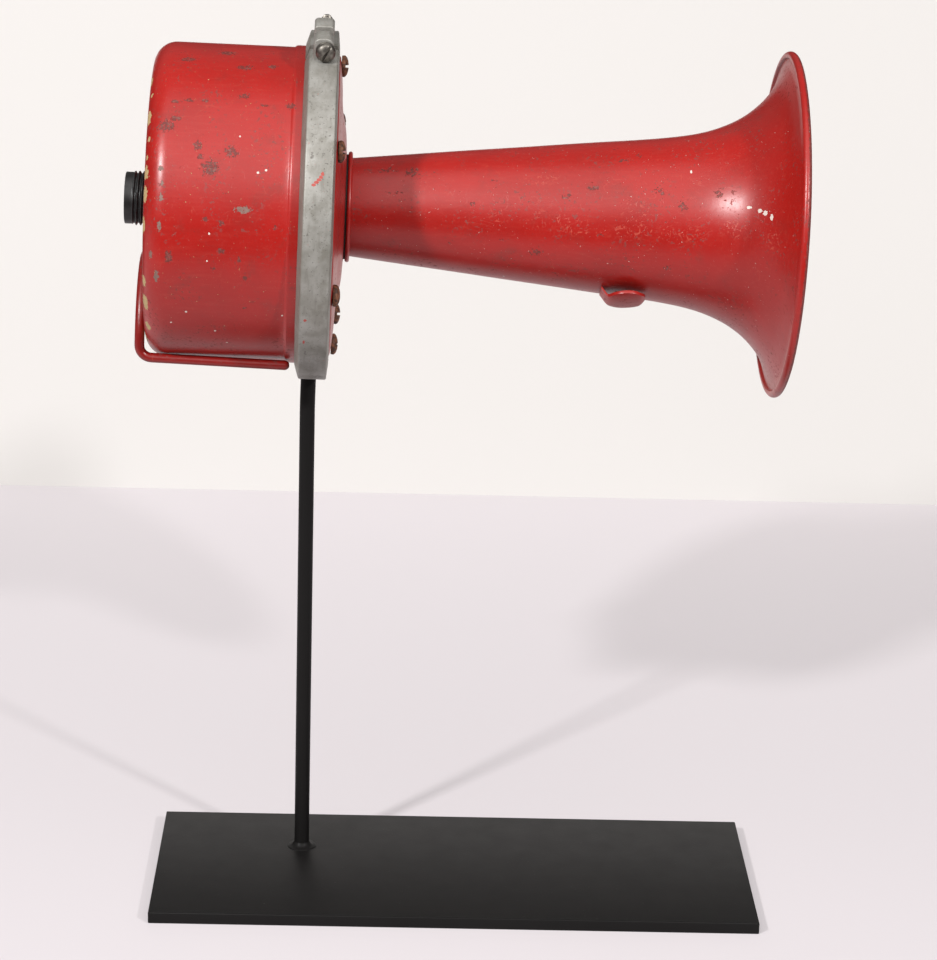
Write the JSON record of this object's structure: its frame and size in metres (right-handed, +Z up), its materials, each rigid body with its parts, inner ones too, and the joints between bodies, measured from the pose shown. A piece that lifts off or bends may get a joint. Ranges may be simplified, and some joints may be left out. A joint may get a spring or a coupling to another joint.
{
  "type": "electric alarm horn on a display stand",
  "caption": "Round electric alarm horn with a drum housing, a split clamp band and a flared trumpet, held on a rod above a flat base plate.",
  "frame": {"origin": "centre of the base plate's underside", "axes": "+Z up, +X towards the horn's mouth along the base plate's long side, +Y towards the side away from the clamp screw's head"},
  "size_m": [0.2729, 0.1453, 0.3686],
  "materials": {
    "black_coat": "satin black powder coat",
    "band_metal": "dull cast metal, stained",
    "red_enamel": "worn glossy red enamel",
    "rusty_steel": "brown rust",
    "dark_steel": "dark oily steel",
    "black_pipe": "black oxide",
    "gasket_rubber": "aged rubber",
    "plated_steel": "dull zinc plate",
    "spring_steel": "smooth spring steel",
    "soft_iron": "varnished laminations",
    "moulding": "dark phenolic moulding",
    "copper_wire": "enamelled copper wire",
    "fibre": "red vulcanised fibre",
    "contact_silver": "silver contact",
    "condenser_can": "drawn can",
    "brass": "bright brass",
    "lead_insulation": "black braided insulation"
  },
  "bodies": {
    "horn_on_stand": {"base_plate": "black_coat", "stand_rod": "black_coat", "rod_weld": "black_coat", "clamp_band": "band_metal", "drum_housing": "red_enamel", "conduit_nipple": "black_pipe", "nipple_boss": "black_pipe", "nipple_locknut": "black_pipe", "wire_bail": "red_enamel", "housing_gasket": "gasket_rubber", "front_plate": "red_enamel", "plate_screws": "rusty_steel", "diaphragm": "spring_steel", "diaphragm_gasket_front": "gasket_rubber", "diaphragm_gasket_rear": "gasket_rubber", "diaphragm_clamp_ring": "plated_steel", "trumpet": "red_enamel", "rim_wire": "rusty_steel", "trumpet_collar": "red_enamel", "throat_gasket": "gasket_rubber", "collar_screws": "plated_steel", "strap_tab": "red_enamel", "mechanism_bridge": "plated_steel", "bridge_screws": "plated_steel", "magnet_core": "soft_iron", "core_screws": "plated_steel", "coil_bobbin": "moulding", "coil_winding": "copper_wire", "contact_bracket": "plated_steel", "condenser": "condenser_can", "condenser_clip": "plated_steel", "terminal_block": "moulding", "terminal_screws": "brass", "coil_lead": "lead_insulation", "contact_lead": "lead_insulation"},
    "clamp_washer": {"clamp_washer": "dark_steel"},
    "clamp_screw": {"clamp_screw": "dark_steel"},
    "armature": {"armature": "soft_iron", "armature_stud": "plated_steel", "diaphragm_washers": "plated_steel", "stud_nut": "plated_steel", "striker_block": "fibre"},
    "contact_leaf": {"contact_leaf": "spring_steel", "moving_contact": "contact_silver"},
    "contact_carriage": {"contact_carriage": "moulding", "fixed_contact": "contact_silver"},
    "tone_screw": {"tone_screw": "rusty_steel"}
  },
  "joints": [
    {"name": "clamp_screw_travel", "type": "slide", "parent": "horn_on_stand", "child": "clamp_washer", "axis": [0.0094, -0.9617, -0.2739], "range_m": [0, 0.00635]},
    {"name": "clamp_screw_turn", "type": "hinge", "parent": "clamp_washer", "child": "clamp_screw", "pos_m": [-0.05948, -0.01254, 0.35787], "axis": [0.0094, -0.9617, -0.2739], "range_deg": [0, 2880]},
    {"name": "armature_pull", "type": "slide", "parent": "horn_on_stand", "child": "armature", "axis": [0.9996, 0.0163, -0.023], "range_m": [-0.0005, 0], "stiffness_N_per_m": 20000, "deforming": ["diaphragm"]},
    {"name": "contact_leaf_flex", "type": "hinge", "parent": "horn_on_stand", "child": "contact_leaf", "pos_m": [-0.08005, 0.03749, 0.24915], "axis": [0.0048, -0.9019, -0.432], "range_deg": [0, 1]},
    {"name": "contact_carriage_travel", "type": "slide", "parent": "horn_on_stand", "child": "contact_carriage", "axis": [0.9996, 0.0163, -0.023], "range_m": [0, 0.00079]},
    {"name": "tone_screw_turn", "type": "hinge", "parent": "contact_carriage", "child": "tone_screw", "pos_m": [-0.05595, 0.04316, 0.23759], "axis": [0.9996, 0.0163, -0.023], "range_deg": [0, 360]}
  ],
  "couplings": [
    {"joint": "clamp_screw_turn", "follows": "clamp_screw_travel", "rad_per_m": 7913.3},
    {"joint": "tone_screw_turn", "follows": "contact_carriage_travel", "rad_per_m": 7913.3},
    {"joint": "contact_leaf_flex", "follows": "armature_pull", "rad_per_m": -32.258}
  ]
}
